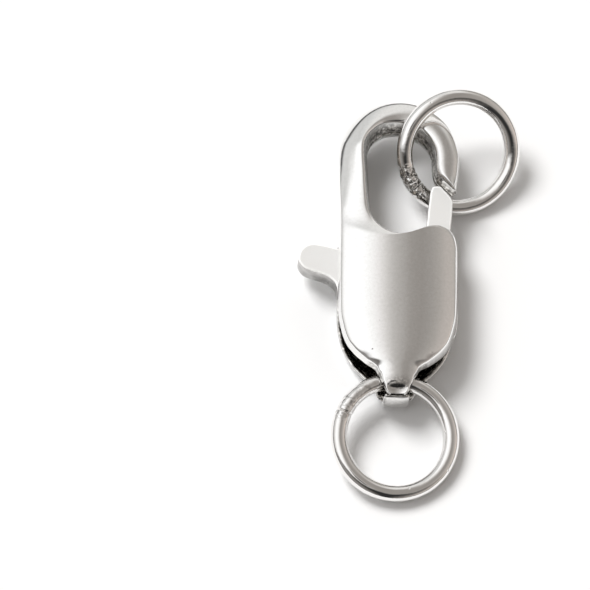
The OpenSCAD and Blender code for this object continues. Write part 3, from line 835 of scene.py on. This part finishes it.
def makeFloor():
    points = []
    for i in range(floor["sides"]):
        a = 2 * math.pi * i / floor["sides"]
        points.append((floor["radius"] * mm * math.cos(a), floor["radius"] * mm * math.sin(a), 0))
    mesh = bpy.data.meshes.new("floor")
    mesh.from_pydata(points, [], [tuple(range(floor["sides"]))])
    made = bpy.data.objects.new("floor", mesh)
    bpy.context.scene.collection.objects.link(made)
    material, nodes, links, shader, place = startMaterial("pale_floor")
    shader.inputs["Base Color"].default_value = (*floor["colour"], 1)
    shader.inputs["Roughness"].default_value = floor["roughness"]
    shader.inputs["Specular IOR Level"].default_value = floor["specular"]
    mesh.materials.append(material)


def makeRoom():
    world = bpy.data.worlds.new("studio")
    bpy.context.scene.world = world
    world.use_nodes = True
    nodes, links = world.node_tree.nodes, world.node_tree.links
    direction = nodes.new("ShaderNodeTexCoord").outputs["Generated"]
    parts = nodes.new("ShaderNodeSeparateXYZ")
    links.new(direction, parts.inputs["Vector"])

    def angle(axis):
        made = nodes.new("ShaderNodeMath")
        made.operation = "ARCTAN2"
        links.new(parts.outputs[axis], made.inputs[0])
        links.new(parts.outputs["Z"], made.inputs[1])
        return made.outputs["Value"]

    def share(source, start, end, smooth=True):
        made = nodes.new("ShaderNodeMapRange")
        made.interpolation_type = "SMOOTHSTEP" if smooth else "LINEAR"
        made.inputs["From Min"].default_value = start
        made.inputs["From Max"].default_value = end
        links.new(source, made.inputs["Value"])
        return made.outputs["Result"]

    def strip(place, stops):
        return addRamp(nodes, links, place, [((a + 90) / 180, colour) for a, colour in stops])

    def mixed(mask, under, over):
        return addMix(nodes, links, mask, under, over)

    toRight, toHook = angle("X"), angle("Y")
    place = share(toRight, math.radians(-90), math.radians(90), smooth=False)
    behind = share(toHook, *[math.radians(a) for a in studio["behindFrom"]])
    inFront = share(toHook, *[math.radians(a) for a in studio["inFrontFrom"]])
    colour = mixed(behind, strip(place, studio["overhead"]), strip(place, studio["behind"]))
    colour = mixed(inFront, colour, strip(place, studio["inFront"]))
    lens = studio["lens"]
    towards = Vector([math.tan(math.radians(a)) for a in lens["at"]] + [1]).normalized()
    dot = nodes.new("ShaderNodeVectorMath")
    dot.operation = "DOT_PRODUCT"
    dot.inputs[1].default_value = towards
    links.new(direction, dot.inputs[0])
    edge, full = (math.cos(math.radians(lens[key])) for key in ("edge", "full"))
    colour = mixed(share(dot.outputs["Value"], edge, full), colour, lens["colour"])
    horizon = studio["horizon"]
    end, full = (math.sin(math.radians(horizon[key])) for key in ("end", "full"))
    colour = mixed(share(parts.outputs["Z"], end, full), colour, horizon["colour"])
    rays = nodes.new("ShaderNodeLightPath").outputs
    dim = nodes.new("ShaderNodeVectorMath")
    dim.operation = "SCALE"
    dim.inputs["Scale"].default_value = studio["roomOnMatt"]
    links.new(colour, dim.inputs[0])
    colour = mixed(rays["Is Diffuse Ray"], colour, dim.outputs["Vector"])
    colour = mixed(rays["Is Camera Ray"], colour, (1.0, 1.0, 1.0))
    links.new(colour, nodes["Background"].inputs["Color"])


def makeSun():
    values = studio["sun"]
    aside, behind = (math.radians(a) for a in values["angle"])
    data = bpy.data.lights.new("sun", "SUN")
    data.angle = math.radians(values["width"])
    data.energy = values["strength"]
    sun = bpy.data.objects.new("sun", data)
    bpy.context.scene.collection.objects.link(sun)
    sun.rotation_mode = "QUATERNION"
    sun.rotation_quaternion = Vector((math.tan(aside), math.tan(behind), 1)).to_track_quat("Z", "Y")
    sun.visible_glossy = False


camera = {
    "round": 2.5,  # degrees from straight overhead to the left,
    "lean": 22.0,  # and towards the tail
    "roll": 0.9,
    "distance": 150.0,
    "mmPerPixel": 0.0383,  # at that distance
    "pixels": 590,
    "sensor": 36,
    "clip": (0.01, 2),  # metres
    "target": (0, 0, 1.97),  # this point of the clasp shows at targetPixel
    "targetPixel": (397.8, 392.5),
}


def makeCamera():
    toLeft, toTail = (math.tan(math.radians(camera[key])) for key in ("round", "lean"))
    back = Vector((-toLeft, -toTail, 1)).normalized()
    right = Vector((0, 1, 0)).cross(back).normalized()
    up = back.cross(right)
    roll = math.radians(camera["roll"])
    right, up = right * math.cos(roll) + up * math.sin(roll), up * math.cos(roll) - right * math.sin(roll)
    target = Vector(camera["target"]) + Vector((*origin, 0))
    half = camera["pixels"] / 2
    aside = (camera["targetPixel"][0] - half) * camera["mmPerPixel"]
    above = (half - camera["targetPixel"][1]) * camera["mmPerPixel"]
    place = target - right * aside - up * above + back * camera["distance"]
    data = bpy.data.cameras.new("camera")
    data.sensor_width = camera["sensor"]
    data.lens = camera["distance"] / (camera["mmPerPixel"] * camera["pixels"]) * camera["sensor"]
    data.clip_start, data.clip_end = camera["clip"]
    made = bpy.data.objects.new("camera", data)
    bpy.context.scene.collection.objects.link(made)
    made.matrix_world = Matrix((
        (right.x, up.x, back.x, place.x * mm),
        (right.y, up.y, back.y, place.y * mm),
        (right.z, up.z, back.z, place.z * mm),
        (0, 0, 0, 1),
    ))
    bpy.context.scene.camera = made


makeFloor()
makeRoom()
makeSun()
makeCamera()
bpy.context.scene.view_settings.view_transform = "Standard"
print("studio and camera set")
